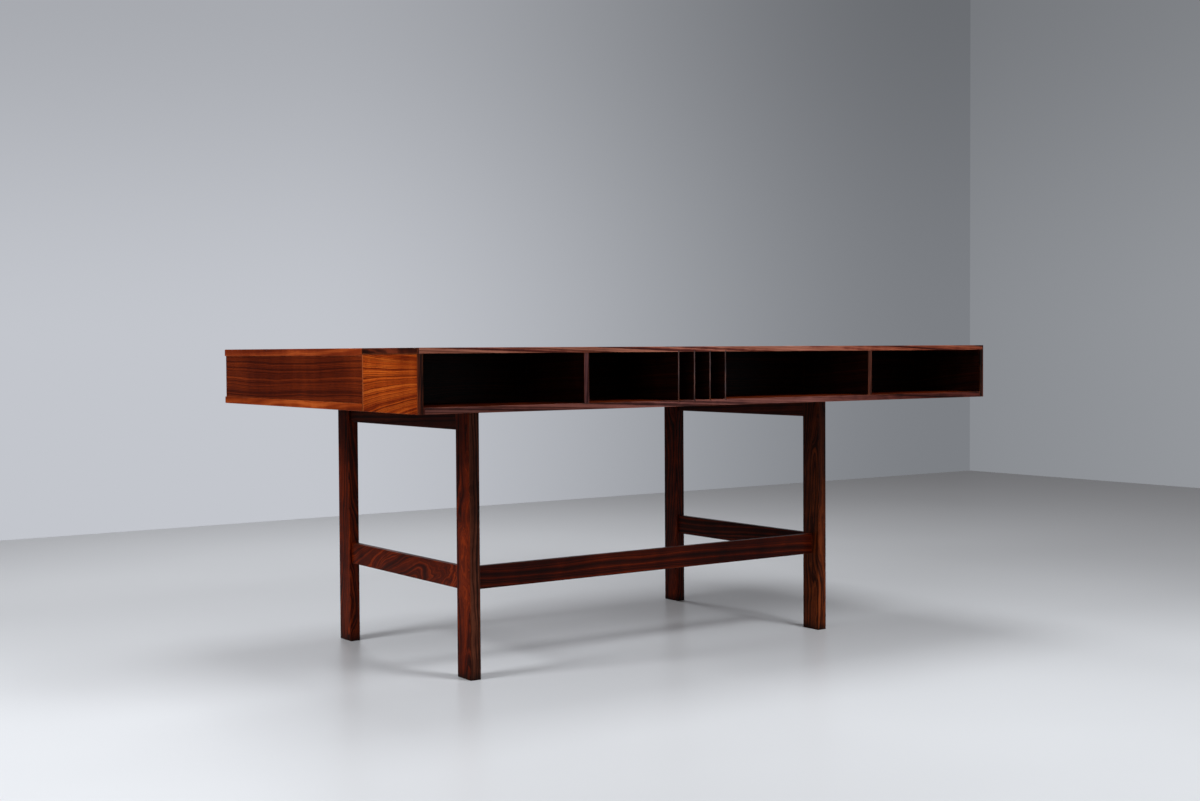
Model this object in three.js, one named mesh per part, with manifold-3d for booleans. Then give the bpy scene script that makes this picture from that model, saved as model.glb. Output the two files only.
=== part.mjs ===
// Partners desk: a shallow drawer case on an open leg frame, with a compartment box behind it
// that is hinged at the top surface and flips over onto the desktop.
//
// Millimetres, +Z up. The origin is on the floor under the middle of the desk. The drawers face -Y,
// the box hangs on the +Y side, and the length runs along X.

import * as THREE from 'three';
import { mergeVertices } from 'three/addons/utils/BufferGeometryUtils.js';
import Module from 'manifold-3d';

// Whole desk
const deskLength = 1628;
const deskDepth = 978;
const deskHeight = 735;
const caseHeight = 130.7;
const boxDepth = 236.8;
const seamGap = 2;
const glueLine = 0.3;
const overrun = 5;

// Case boards
const desktopThickness = 15.9;
const caseBottomThickness = 16.2;
const caseEndThickness = 16;
const caseBackThickness = 12;
const partitionThickness = 16;
const endReveal = 1.5;
const frontReveal = 4;
const noseRadius = 2.5;
const seamArris = 1.3;

// Leg frame
const legWidth = 26.8;
const legDepth = 58.3;
const legRounding = 2;
const legEndInset = 279.4;
const legFrontInset = 46.5;
const legSeamInset = 42.7;
const footChamfer = 1.2;
const railHeight = 51.6;
const railInset = 6.1;
const railRounding = 1.5;
const stretcherFloorGap = 197;
const longStretcherThickness = 14.6;
const longStretcherInset = 24.8;
const tenonThickness = 8;
const tenonHeight = 38;
const tenonReach = 17;

// Drawers
const drawerCount = 4;
const drawerRearSpace = 103.2;
const drawerFrontThickness = 20;
const drawerSideThickness = 10;
const drawerBackThickness = 10;
const drawerSideHeight = 82;
const drawerBackDrop = 4;
const drawerBottomThickness = 5;
const drawerBottomLift = 9;
const drawerGrooveDepth = 5;
const drawerGap = 1.5;
const drawerSlideGap = 0.3;
const tailCount = 4;
const tailNarrowing = 1.6;
const tailLap = 7;
const tailPinWidth = 7;

// Finger pull carved into each drawer front
const pullHalfWidth = 56;
const pullDrop = 23;
const pullDepth = 12;
const pullHeightOnFront = 58;
const pullLipThickness = 4.5;
const pullUndercutRise = 8;
const pullUndercutHalfWidth = 50;

// Flip-over box
const boxTopThickness = 11.6;
const boxBottomThickness = 13.2;
const boxEndThickness = 12;
const boxBackThickness = 10;
const thickDividerThickness = 12;
const endCompartmentWidth = 382.6;
const thinDividerThickness = 3;
const thinDividerStart = 36.4;
const thinDividerPitch = 44.1;
const thinDividerCount = 4;
const thinGrooveDepth = 2.5;
const dividerSetback = 1;

// Flush flap hinges
const hingeEndInset = 254;
const hingePinFromEdge = 3;
const hingePinDepth = 3.5;
const hingePinRadius = 1.2;
const hingePinClearance = 0.08;
const hingeBarrelRadius = 2.6;
const hingeLeafWidth = 44;
const hingeLeafReach = 30;
const hingePlateThickness = 2.5;
const hingeBlockReach = 8;
const hingeBlockDepth = 7.4;
const hingeLinkWidth = 13.4;
const hingeRunningGap = 0.4;
const hingeScrewPitch = 14;
const hingeScrewHeadRadius = 3.2;
const hingeScrewHoleRadius = 1.7;

// Buffers between the case and the box
const bufferRadius = 8;
const bufferShankRadius = 3;
const bufferShankLength = 9;
const bufferEndInset = 254;
const bufferHeightInCase = 30;

// Facets
const mergeTolerance = 1e-5;
const cornerSegments = 4;
const pinSides = 16;
const barrelSegments = 12;
const screwHoleSides = 12;
const bufferSides = 24;
const pullSidesAcross = 28;
const pullSidesDown = 16;

// Places that follow from the sizes above
const underside = deskHeight - caseHeight;
const boxInnerY = deskDepth / 2 - boxDepth;
const boxRearY = deskDepth / 2;
const caseRearY = boxInnerY - seamGap;
const caseFrontY = -deskDepth / 2;
const panelFrontY = caseFrontY + frontReveal;
const caseBackInnerY = caseRearY - caseBackThickness;
const insideFloor = underside + caseBottomThickness;
const insideCeiling = deskHeight - desktopThickness;
const insideHeight = insideCeiling - insideFloor;
const caseEndInnerX = deskLength / 2 - endReveal - caseEndThickness;
const railThickness = legWidth - 2 * railInset;
const drawerLength = caseBackInnerY - drawerRearSpace - panelFrontY;

// Colours of the materials
const rosewood = { color: 0x6b2a14, roughness: 0.42, metalness: 0 };
const lightRosewood = { color: 0xa6491c, roughness: 0.4, metalness: 0 };
const darkRosewood = { color: 0x3c1a10, roughness: 0.45, metalness: 0 };
const drawerMaple = { color: 0xb88a5a, roughness: 0.55, metalness: 0 };
const brass = { color: 0xb08d4a, roughness: 0.3, metalness: 1 };
const bufferRubber = { color: 0x2b201a, roughness: 0.8, metalness: 0 };

const wasm = await Module();
wasm.setup();

// A closed geometry as a solid that can be cut and joined.
function solidOf(geometry) {
  const bare = geometry.clone();
  bare.deleteAttribute('normal');
  bare.deleteAttribute('uv');
  const merged = mergeVertices(bare, mergeTolerance);
  return new wasm.Manifold(new wasm.Mesh({
    numProp: 3,
    vertProperties: new Float32Array(merged.attributes.position.array),
    triVerts: new Uint32Array(merged.index.array),
  }));
}

// A solid back as a geometry with flat shaded faces.
function geometryOf(solid) {
  const mesh = solid.getMesh();
  const geometry = new THREE.BufferGeometry();
  geometry.setAttribute('position', new THREE.BufferAttribute(new Float32Array(mesh.vertProperties), 3));
  geometry.setIndex(new THREE.BufferAttribute(new Uint32Array(mesh.triVerts), 1));
  geometry.computeVertexNormals();
  return geometry;
}

function cut(geometry, ...tools) {
  let solid = solidOf(geometry);
  for (const tool of tools) solid = solid.subtract(solidOf(tool));
  return geometryOf(solid);
}

function join(geometry, ...others) {
  let solid = solidOf(geometry);
  for (const other of others) solid = solid.add(solidOf(other));
  return geometryOf(solid);
}

function keep(geometry, region) {
  return geometryOf(solidOf(geometry).intersect(solidOf(region)));
}

// A square-edged board between two corners.
function block(low, high) {
  const size = high.map((value, axis) => Math.abs(value - low[axis]));
  const middle = high.map((value, axis) => (value + low[axis]) / 2);
  return new THREE.BoxGeometry(...size).translate(...middle);
}

// A closed outline from a list of [across, up] points.
function outline(points) {
  return new THREE.Shape(points.map(([across, up]) => new THREE.Vector2(across, up)));
}

// A rectangle centred on the origin with rounded corners.
function roundedRectangle(width, height, radius) {
  const shape = new THREE.Shape();
  const right = width / 2;
  const top = height / 2;
  shape.moveTo(radius - right, -top);
  shape.lineTo(right - radius, -top);
  shape.absarc(right - radius, radius - top, radius, -Math.PI / 2, 0);
  shape.lineTo(right, top - radius);
  shape.absarc(right - radius, top - radius, radius, 0, Math.PI / 2);
  shape.lineTo(radius - right, top);
  shape.absarc(radius - right, top - radius, radius, Math.PI / 2, Math.PI);
  shape.lineTo(-right, radius - top);
  shape.absarc(radius - right, radius - top, radius, Math.PI, 1.5 * Math.PI);
  return shape;
}

// An outline drawn in [y, z], run along X and centred on x = 0.
function alongX(shape, length, curveSegments = cornerSegments) {
  const geometry = new THREE.ExtrudeGeometry(shape, { depth: length, bevelEnabled: false, curveSegments });
  const turn = new THREE.Matrix4().makeBasis(
    new THREE.Vector3(0, 1, 0), new THREE.Vector3(0, 0, 1), new THREE.Vector3(1, 0, 0));
  return geometry.translate(0, 0, -length / 2).applyMatrix4(turn);
}

// A cylinder along X, centred on x = 0.
function pinAlongX(radius, length, y, z) {
  return new THREE.CylinderGeometry(radius, radius, length, pinSides).rotateZ(Math.PI / 2).translate(0, y, z);
}

function addPiece(parent, name, geometry, finish, place = [0, 0, 0], turnZ = 0) {
  const mesh = new THREE.Mesh(geometry, new THREE.MeshStandardMaterial(finish));
  mesh.name = name;
  mesh.position.set(...place);
  mesh.rotation.z = turnZ;
  parent.add(mesh);
  return mesh;
}

// Flap hinge shapes. Each is drawn about the top edge of its board at the seam: y runs from the seam
// back into the board as negative values, and z = 0 is the top surface.
function leafSection(growth) {
  const reach = hingeLeafReach + growth;
  const plate = hingePlateThickness + growth;
  const blockReach = hingeBlockReach + growth;
  const blockDepth = hingeBlockDepth + growth;
  return { reach, plate, blockReach, blockDepth };
}

function hingeMortise() {
  const { reach, plate, blockReach, blockDepth } = leafSection(glueLine);
  const section = outline([
    [overrun, overrun], [-reach, overrun], [-reach, -plate],
    [-blockReach, -plate], [-blockReach, -blockDepth], [overrun, -blockDepth],
  ]);
  return alongX(section, hingeLeafWidth + 2 * glueLine);
}

function hingeLeaf() {
  const { reach, plate, blockReach, blockDepth } = leafSection(0);
  const section = outline([
    [-seamArris, 0], [-reach, 0], [-reach, -plate],
    [-blockReach, -plate], [-blockReach, -blockDepth], [0, -blockDepth], [0, -seamArris],
  ]);
  const body = alongX(section, hingeLeafWidth);
  const slotHalfWidth = hingeLinkWidth / 2 + glueLine;
  const slotReach = hingePinFromEdge + hingeBarrelRadius + hingeRunningGap;
  const slotDepth = hingePinDepth + hingeBarrelRadius + hingeRunningGap;
  const slot = block([-slotHalfWidth, -slotReach, -slotDepth], [slotHalfWidth, overrun, overrun]);
  const pinHole = pinAlongX(
    hingePinRadius + hingePinClearance, hingeLeafWidth + overrun, -hingePinFromEdge, -hingePinDepth);
  const screwY = -(hingeBlockReach + hingeLeafReach) / 2;
  const screwHoles = [-1, 0, 1].map((step) => new THREE.CylinderGeometry(
    hingeScrewHeadRadius, hingeScrewHoleRadius, plate, screwHoleSides)
    .rotateX(Math.PI / 2).translate(step * hingeScrewPitch, screwY, -plate / 2));
  return cut(body, slot, pinHole, ...screwHoles);
}

// Two barrels joined by a web, with both pins; drawn about the middle between the pins.
function hingeLink() {
  const halfSpan = hingePinFromEdge + seamGap / 2;
  const section = new THREE.Shape();
  section.moveTo(-halfSpan, -hingeBarrelRadius);
  section.lineTo(halfSpan, -hingeBarrelRadius);
  section.absarc(halfSpan, 0, hingeBarrelRadius, -Math.PI / 2, Math.PI / 2);
  section.lineTo(-halfSpan, hingeBarrelRadius);
  section.absarc(-halfSpan, 0, hingeBarrelRadius, Math.PI / 2, 1.5 * Math.PI);
  const pinLength = hingeLeafWidth - 2 * glueLine;
  return join(
    alongX(section, hingeLinkWidth, barrelSegments),
    pinAlongX(hingePinRadius, pinLength, -halfSpan, 0),
    pinAlongX(hingePinRadius, pinLength, halfSpan, 0));
}

// The mortises that three leaves need in a board whose seam edge is at y = edgeY. The side is 1 for
// the case, which lies on the -Y side of the seam, and -1 for the box.
function hingeMortises(edgeY, side) {
  return hingePlaces().map((x) => {
    const mortise = hingeMortise();
    if (side < 0) mortise.rotateZ(Math.PI);
    return mortise.translate(x, edgeY, deskHeight);
  });
}

function hingePlaces() {
  const outer = deskLength / 2 - hingeEndInset;
  return [-outer, 0, outer];
}

// Leg frame
// A leg with mortises for two rails on the face towards railSide, along Y, and one for the long
// stretcher on the face towards stretcherSide, along X, which is 0 where there is none.
function leg(railSide, stretcherSide) {
  const height = underside - glueLine;
  const shaft = new THREE.ExtrudeGeometry(roundedRectangle(legWidth, legDepth, legRounding), {
    depth: height + overrun, bevelEnabled: true, bevelThickness: footChamfer, bevelSize: footChamfer,
    bevelOffset: -footChamfer, bevelSegments: 1, curveSegments: cornerSegments,
  }).translate(0, 0, footChamfer);
  const above = block(
    [-legWidth, -legDepth, height], [legWidth, legDepth, height + overrun + 3 * footChamfer]);
  const mortiseHalf = tenonThickness / 2 + glueLine;
  const mortiseTall = tenonHeight / 2 + glueLine;
  const mortiseDeep = tenonReach + glueLine;
  const stretcherMiddle = stretcherFloorGap + railHeight / 2;
  const cuts = [above];
  for (const middle of [stretcherMiddle, underside - glueLine - railHeight / 2]) {
    cuts.push(block(
      [-mortiseHalf, railSide * (legDepth / 2 - mortiseDeep), middle - mortiseTall],
      [mortiseHalf, railSide * (legDepth / 2 + overrun), middle + mortiseTall]));
  }
  if (stretcherSide !== 0) {
    const y = -railSide * (legDepth / 2 - longStretcherInset - longStretcherThickness / 2);
    cuts.push(block(
      [stretcherSide * (legWidth / 2 - mortiseDeep), y - mortiseHalf, stretcherMiddle - mortiseTall],
      [stretcherSide * (legWidth / 2 + overrun), y + mortiseHalf, stretcherMiddle + mortiseTall]));
  }
  return cut(shaft, ...cuts);
}

// A rail with a tenon at each end, run along X between two shoulders.
function tenonedRail(shoulderLength, thickness) {
  const body = alongX(roundedRectangle(thickness, railHeight, railRounding), shoulderLength);
  const tenonHalf = shoulderLength / 2 + tenonReach;
  const tenon = block(
    [-tenonHalf, -tenonThickness / 2, -tenonHeight / 2], [tenonHalf, tenonThickness / 2, tenonHeight / 2]);
  return join(body, tenon);
}

function buildFrame() {
  const frame = new THREE.Group();
  const legX = deskLength / 2 - legEndInset - legWidth / 2;
  const rearLegY = caseRearY - legSeamInset - legDepth / 2;
  const frontLegY = caseFrontY + legFrontInset + legDepth / 2;
  const betweenLegs = rearLegY - frontLegY - legDepth - 2 * glueLine;
  const railY = (rearLegY + frontLegY) / 2;
  const stretcherZ = stretcherFloorGap + railHeight / 2;
  const topRailZ = underside - glueLine - railHeight / 2;
  for (const [side, word] of [[-1, 'left'], [1, 'right']]) {
    addPiece(frame, `leg_rear_${word}`, leg(-1, -side), rosewood, [side * legX, rearLegY, 0]);
    addPiece(frame, `leg_front_${word}`, leg(1, 0), rosewood, [side * legX, frontLegY, 0]);
    addPiece(frame, `end_stretcher_${word}`, tenonedRail(betweenLegs, railThickness), rosewood,
      [side * legX, railY, stretcherZ], Math.PI / 2);
    addPiece(frame, `top_rail_${word}`, tenonedRail(betweenLegs, railThickness), darkRosewood,
      [side * legX, railY, topRailZ], Math.PI / 2);
  }
  const longShoulder = 2 * (legX - legWidth / 2 - glueLine);
  const longY = rearLegY + legDepth / 2 - longStretcherInset - longStretcherThickness / 2;
  addPiece(frame, 'long_stretcher', tenonedRail(longShoulder, longStretcherThickness), rosewood,
    [0, longY, stretcherZ]);
  return frame;
}

// Case
function desktop() {
  const section = new THREE.Shape();
  const low = deskHeight - desktopThickness;
  section.moveTo(caseFrontY + noseRadius, low);
  section.lineTo(caseRearY, low);
  section.lineTo(caseRearY, deskHeight - seamArris);
  section.lineTo(caseRearY - seamArris, deskHeight);
  section.lineTo(caseFrontY + noseRadius, deskHeight);
  section.absarc(caseFrontY + noseRadius, deskHeight - noseRadius, noseRadius, Math.PI / 2, Math.PI);
  section.lineTo(caseFrontY, low + noseRadius);
  section.absarc(caseFrontY + noseRadius, low + noseRadius, noseRadius, Math.PI, 1.5 * Math.PI);
  return cut(alongX(section, deskLength), ...hingeMortises(caseRearY, 1));
}

function caseBottom() {
  const section = new THREE.Shape();
  section.moveTo(caseFrontY + noseRadius, underside);
  section.lineTo(caseRearY, underside);
  section.lineTo(caseRearY, insideFloor);
  section.lineTo(caseFrontY + noseRadius, insideFloor);
  section.absarc(caseFrontY + noseRadius, insideFloor - noseRadius, noseRadius, Math.PI / 2, Math.PI);
  section.lineTo(caseFrontY, underside + noseRadius);
  section.absarc(caseFrontY + noseRadius, underside + noseRadius, noseRadius, Math.PI, 1.5 * Math.PI);
  return alongX(section, deskLength);
}

function bufferPlaces() {
  const outer = deskLength / 2 - bufferEndInset;
  return [[-outer, 'left'], [outer, 'right']];
}

function buildCase() {
  const body = new THREE.Group();
  const low = insideFloor + glueLine;
  const high = insideCeiling - glueLine;
  addPiece(body, 'desktop', desktop(), lightRosewood);
  addPiece(body, 'case_bottom', caseBottom(), lightRosewood);
  for (const [side, word] of [[-1, 'left'], [1, 'right']]) {
    const middle = side * (caseEndInnerX + caseEndThickness / 2);
    const half = caseEndThickness / 2;
    addPiece(body, `case_end_${word}`, block([-half, panelFrontY, low], [half, caseRearY, high]),
      rosewood, [middle, 0, 0]);
  }

  const backHalf = caseEndInnerX - glueLine;
  const bufferZ = underside + bufferHeightInCase;
  const bufferHoles = bufferPlaces().map(([x]) => new THREE.CylinderGeometry(
    bufferShankRadius + glueLine, bufferShankRadius + glueLine, 2 * (bufferShankLength + glueLine), pinSides)
    .translate(x, caseRearY, bufferZ));
  addPiece(body, 'case_back', cut(
    block([-backHalf, caseBackInnerY, low], [backHalf, caseRearY, high]), ...bufferHoles), rosewood);
  for (const [x, word] of bufferPlaces()) {
    addPiece(body, `stop_buffer_${word}`, stopBuffer(), bufferRubber, [x, caseRearY, bufferZ]);
  }

  const bayPitch = (2 * caseEndInnerX + partitionThickness) / drawerCount;
  for (let place = 1; place < drawerCount; place += 1) {
    const half = partitionThickness / 2;
    const x = place * bayPitch - caseEndInnerX - half;
    addPiece(body, `drawer_partition_${place}`,
      block([-half, panelFrontY, low], [half, caseBackInnerY - glueLine, high]), rosewood, [x, 0, 0]);
  }
  return body;
}

// A mushroom-shaped buffer whose head fills the seam; its shank sits in the case back.
function stopBuffer() {
  const head = seamGap - glueLine;
  const rim = head / 3;
  const profile = [
    [0, -bufferShankLength], [bufferShankRadius, -bufferShankLength], [bufferShankRadius, glueLine],
    [bufferRadius, glueLine], [bufferRadius, head - rim], [bufferRadius - rim, head], [0, head],
  ].map(([radius, y]) => new THREE.Vector2(radius, y));
  return new THREE.LatheGeometry(profile, bufferSides);
}

// Drawers. Each is drawn about the middle of its front face at the lower edge of its sides: y runs
// from the face into the case.
function tailPlaces(low, high) {
  const pitch = (high - low) / tailCount;
  return Array.from({ length: tailCount }, (_, place) => low + (place + 0.5) * pitch);
}

function tailHalfWidth(low, high) {
  return ((high - low) / tailCount - tailPinWidth) / 2;
}

// The tails at one end of a side as points [y, z], from the lowest to the highest.
function tailPoints(shoulderY, tipY, low, high) {
  const half = tailHalfWidth(low, high);
  return tailPlaces(low, high).flatMap((middle) => [
    [shoulderY, middle - half + tailNarrowing], [tipY, middle - half],
    [tipY, middle + half], [shoulderY, middle + half - tailNarrowing],
  ]);
}

// One cutter for each tail, a glue line larger all round, that runs on past the tip by a given reach.
function tailSockets(shoulderY, tipY, low, high, x, past) {
  const half = tailHalfWidth(low, high) + glueLine;
  const outward = Math.sign(tipY - shoulderY);
  const end = tipY + outward * past;
  const mouth = shoulderY - outward * overrun;
  return tailPlaces(low, high).map((middle) => alongX(outline([
    [mouth, middle - half + tailNarrowing], [shoulderY, middle - half + tailNarrowing],
    [tipY, middle - half], [end, middle - half], [end, middle + half], [tipY, middle + half],
    [shoulderY, middle + half - tailNarrowing], [mouth, middle + half - tailNarrowing],
  ]), 2 * (drawerSideThickness + glueLine)).translate(x, 0, 0));
}

function fingerPullCutters() {
  const ball = new THREE.SphereGeometry(1, pullSidesAcross, pullSidesDown);
  const scoop = ball.clone().scale(pullHalfWidth, pullDepth, pullDrop);
  const below = block([-pullHalfWidth, -pullDepth, -pullDrop], [pullHalfWidth, pullDepth, 0]);
  const undercut = ball.clone().scale(pullUndercutHalfWidth, pullDepth, pullUndercutRise);
  const behindLip = block(
    [-pullHalfWidth, pullLipThickness, -glueLine], [pullHalfWidth, pullDepth, pullUndercutRise]);
  return [keep(scoop, below), keep(undercut, behindLip)]
    .map((shape) => shape.translate(0, 0, pullHeightOnFront));
}

function buildDrawer(number, bayWidth) {
  const drawer = new THREE.Group();
  const halfWidth = bayWidth / 2 - drawerGap;
  const sideInnerX = halfWidth - drawerSideThickness;
  const sideFrontY = drawerFrontThickness + glueLine;
  const tailFrontY = tailLap;
  const backY = drawerLength - drawerBackThickness;
  const sideRearY = backY - glueLine;
  const backLow = drawerBottomLift + drawerBottomThickness + glueLine;
  const backHigh = drawerSideHeight - drawerBackDrop;
  const grooveX = sideInnerX + drawerGrooveDepth;
  const grooveLow = drawerBottomLift - glueLine;
  const grooveHigh = drawerBottomLift + drawerBottomThickness + glueLine;
  const frontLow = drawerGap - drawerSlideGap;
  const frontHigh = insideHeight - drawerGap - drawerSlideGap;
  const panelX = grooveX - glueLine;

  // The front hides the tails of both sides and holds the bottom panel in a groove.
  const frontCuts = [
    ...fingerPullCutters(),
    block([-grooveX, drawerFrontThickness - drawerGrooveDepth, grooveLow],
      [grooveX, drawerFrontThickness + overrun, grooveHigh]),
  ];
  for (const side of [-1, 1]) {
    frontCuts.push(...tailSockets(
      drawerFrontThickness, tailFrontY, 0, drawerSideHeight, side * halfWidth, glueLine));
  }
  addPiece(drawer, `drawer_${number}_front`, cut(
    block([-halfWidth, 0, frontLow], [halfWidth, drawerFrontThickness, frontHigh]), ...frontCuts),
    lightRosewood);

  const sideOutline = outline([
    [sideFrontY, 0], [sideRearY, 0], ...tailPoints(sideRearY, drawerLength, backLow, backHigh),
    [sideRearY, drawerSideHeight], [sideFrontY, drawerSideHeight],
    ...tailPoints(sideFrontY, tailFrontY, 0, drawerSideHeight).reverse(),
  ]);
  const sideX = halfWidth - drawerSideThickness / 2;
  for (const [side, word] of [[-1, 'left'], [1, 'right']]) {
    const middle = side * sideX;
    const groove = block([-grooveX - middle, 0, grooveLow],
      [grooveX - middle, drawerLength + overrun, grooveHigh]);
    addPiece(drawer, `drawer_${number}_side_${word}`,
      cut(alongX(sideOutline, drawerSideThickness), groove), drawerMaple, [middle, 0, 0]);
  }

  const backCuts = [];
  for (const side of [-1, 1]) {
    backCuts.push(...tailSockets(backY, drawerLength, backLow, backHigh, side * halfWidth, overrun));
  }
  addPiece(drawer, `drawer_${number}_back`, cut(
    block([-halfWidth, backY, backLow], [halfWidth, drawerLength, backHigh]), ...backCuts), drawerMaple);

  addPiece(drawer, `drawer_${number}_bottom`, block(
    [-panelX, drawerFrontThickness - drawerGrooveDepth + glueLine, drawerBottomLift],
    [panelX, drawerLength, drawerBottomLift + drawerBottomThickness]), drawerMaple);
  return drawer;
}

function buildDrawers() {
  const drawers = new THREE.Group();
  const bayPitch = (2 * caseEndInnerX + partitionThickness) / drawerCount;
  const bayWidth = bayPitch - partitionThickness;
  for (let number = 1; number <= drawerCount; number += 1) {
    const drawer = buildDrawer(number, bayWidth);
    const x = (number - 0.5) * bayPitch - caseEndInnerX - partitionThickness / 2;
    drawer.position.set(x, panelFrontY, insideFloor + drawerSlideGap);
    drawers.add(drawer);
  }
  return drawers;
}

// Flip-over box, drawn where it hangs with its compartments open to +Y
function thinDividerPlaces() {
  return Array.from({ length: thinDividerCount }, (_, place) => thinDividerStart + place * thinDividerPitch);
}

function thinGrooves(low, high) {
  const half = thinDividerThickness / 2 + glueLine;
  const frontY = boxInnerY + boxBackThickness;
  return thinDividerPlaces().map((x) => block(
    [x - half, frontY, low], [x + half, boxRearY + overrun, high]));
}

function boxTop() {
  const low = deskHeight - boxTopThickness;
  const section = outline([
    [boxInnerY, low], [boxRearY, low], [boxRearY, deskHeight],
    [boxInnerY + seamArris, deskHeight], [boxInnerY, deskHeight - seamArris],
  ]);
  return cut(alongX(section, deskLength),
    ...hingeMortises(boxInnerY, -1), ...thinGrooves(low - overrun, low + thinGrooveDepth));
}

function buildBox() {
  const box = new THREE.Group();
  const topFace = deskHeight - boxTopThickness;
  const floor = underside + boxBottomThickness;
  const innerX = deskLength / 2 - boxEndThickness;
  const backHalf = innerX - glueLine;
  const dividerFrontY = boxInnerY + boxBackThickness + glueLine;
  const dividerRearY = boxRearY - dividerSetback;
  const thickDividerX = innerX - endCompartmentWidth - thickDividerThickness / 2;
  addPiece(box, 'box_top', boxTop(), lightRosewood);
  addPiece(box, 'box_bottom', cut(
    block([-backHalf, boxInnerY, underside], [backHalf, boxRearY, floor]),
    ...thinGrooves(floor - thinGrooveDepth, floor + overrun)), rosewood);
  for (const [side, word] of [[-1, 'left'], [1, 'right']]) {
    const half = boxEndThickness / 2;
    addPiece(box, `box_end_${word}`,
      block([-half, boxInnerY, underside], [half, boxRearY, topFace - glueLine]), lightRosewood,
      [side * (innerX + half), 0, 0]);
    const dividerHalf = thickDividerThickness / 2;
    addPiece(box, `box_divider_thick_${word}`,
      block([-dividerHalf, dividerFrontY, floor + glueLine], [dividerHalf, dividerRearY, topFace - glueLine]),
      rosewood, [side * thickDividerX, 0, 0]);
  }
  addPiece(box, 'box_back', block(
    [-backHalf, boxInnerY, floor + glueLine],
    [backHalf, boxInnerY + boxBackThickness, topFace - glueLine]), rosewood);

  const thinHalf = thinDividerThickness / 2;
  const thinReach = thinGrooveDepth - glueLine;
  thinDividerPlaces().forEach((x, place) => {
    addPiece(box, `box_divider_thin_${place + 1}`, block(
      [-thinHalf, dividerFrontY, floor - thinReach], [thinHalf, dividerRearY, topFace + thinReach]),
      darkRosewood, [x, 0, 0]);
  });
  return box;
}

function buildHinges() {
  const hinges = new THREE.Group();
  hingePlaces().forEach((x, place) => {
    const hinge = new THREE.Group();
    hinge.position.set(x, 0, deskHeight);
    addPiece(hinge, `hinge_${place + 1}_case_leaf`, hingeLeaf(), brass, [0, caseRearY, 0]);
    addPiece(hinge, `hinge_${place + 1}_box_leaf`, hingeLeaf(), brass, [0, boxInnerY, 0], Math.PI);
    addPiece(hinge, `hinge_${place + 1}_link`, hingeLink(), brass,
      [0, caseRearY + seamGap / 2, -hingePinDepth]);
    hinges.add(hinge);
  });
  return hinges;
}

const desk = new THREE.Group();
desk.add(buildFrame(), buildCase(), buildDrawers(), buildBox(), buildHinges());

export default desk;
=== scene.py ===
# A rosewood partners desk: its finishes, screws, floor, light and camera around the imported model.

import math

import bmesh
import bpy
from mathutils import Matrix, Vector


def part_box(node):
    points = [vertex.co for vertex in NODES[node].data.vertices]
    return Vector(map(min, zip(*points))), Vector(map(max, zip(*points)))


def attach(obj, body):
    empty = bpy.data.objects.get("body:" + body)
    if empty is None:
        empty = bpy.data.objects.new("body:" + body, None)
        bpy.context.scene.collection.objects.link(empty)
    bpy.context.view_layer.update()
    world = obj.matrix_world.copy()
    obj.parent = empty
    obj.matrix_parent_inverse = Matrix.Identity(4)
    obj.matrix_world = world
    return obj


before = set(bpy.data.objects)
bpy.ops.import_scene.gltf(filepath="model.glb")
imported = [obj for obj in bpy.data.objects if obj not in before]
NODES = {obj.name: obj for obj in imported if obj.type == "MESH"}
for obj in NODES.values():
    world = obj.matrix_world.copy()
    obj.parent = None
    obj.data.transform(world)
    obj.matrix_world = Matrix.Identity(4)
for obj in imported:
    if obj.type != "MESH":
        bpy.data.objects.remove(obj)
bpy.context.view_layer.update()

MM = 0.001

# The photograph and its camera. The desk stands on z = 0 with its drawers towards -Y.
PHOTO_WIDTH = 1200
FOCAL_PIXELS = 1567.8
SENSOR_WIDTH = 36.0
CAMERA_PLACE = Vector((2.2848, 3.1795, 0.7275))
CAMERA_YAW = 0.61597
CAMERA_PITCH = -0.03195
CAMERA_ROLL = -0.00605

# Where the walls meet the floor, and the turn of their corner from the camera's axis in radians
WALL_Y = -3.15
WALL_CORNER_X = -4.887
WALL_CORNER_TURN = 0.2318
FLOOR_REACH = 14.0

# Timber sizes
LIPPING = 3.5 * MM
REAR_FACE_DEPTH = 0.4 * MM
LEAF_WIDTH = 184.8 * MM
BOX_LEAF_WIDTH = 118.4 * MM
LEAF_STEP = 0.9 * MM
FAN_RISE = 26 * MM
# Height of the painted shadow along the top of a box end, just under the box top
JOINT_SHADOW_HEIGHT = 2.4 * MM
# Height of the painted shade at the foot of a leg
FOOT_SHADE_HEIGHT = 15 * MM
ARRIS_WIDTH = 2.0 * MM
GRAIN_RELIEF = 0.06 * MM

# The glue lines in the joints
SEAM_INSET = 0.6 * MM
SEAM_CLEARANCE = 0.01 * MM

# How far the edges of each kind of piece are eased
EASE_LEG = 0.4 * MM
EASE_RAIL = 0.5 * MM
EASE_BOARD = 0.5 * MM
EASE_PANEL = 0.3 * MM
EASE_THIN = 0.4 * MM
EASE_DRAWER = 0.25 * MM
EASE_BRASS = 0.15 * MM
EASE_RUBBER = 0.5 * MM
EASE_SCREW = 0.06 * MM
SHARP_ANGLE = math.radians(30)
FLAT_ANGLE = math.radians(0.3)
WELD_DISTANCE = 0.01 * MM

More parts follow.
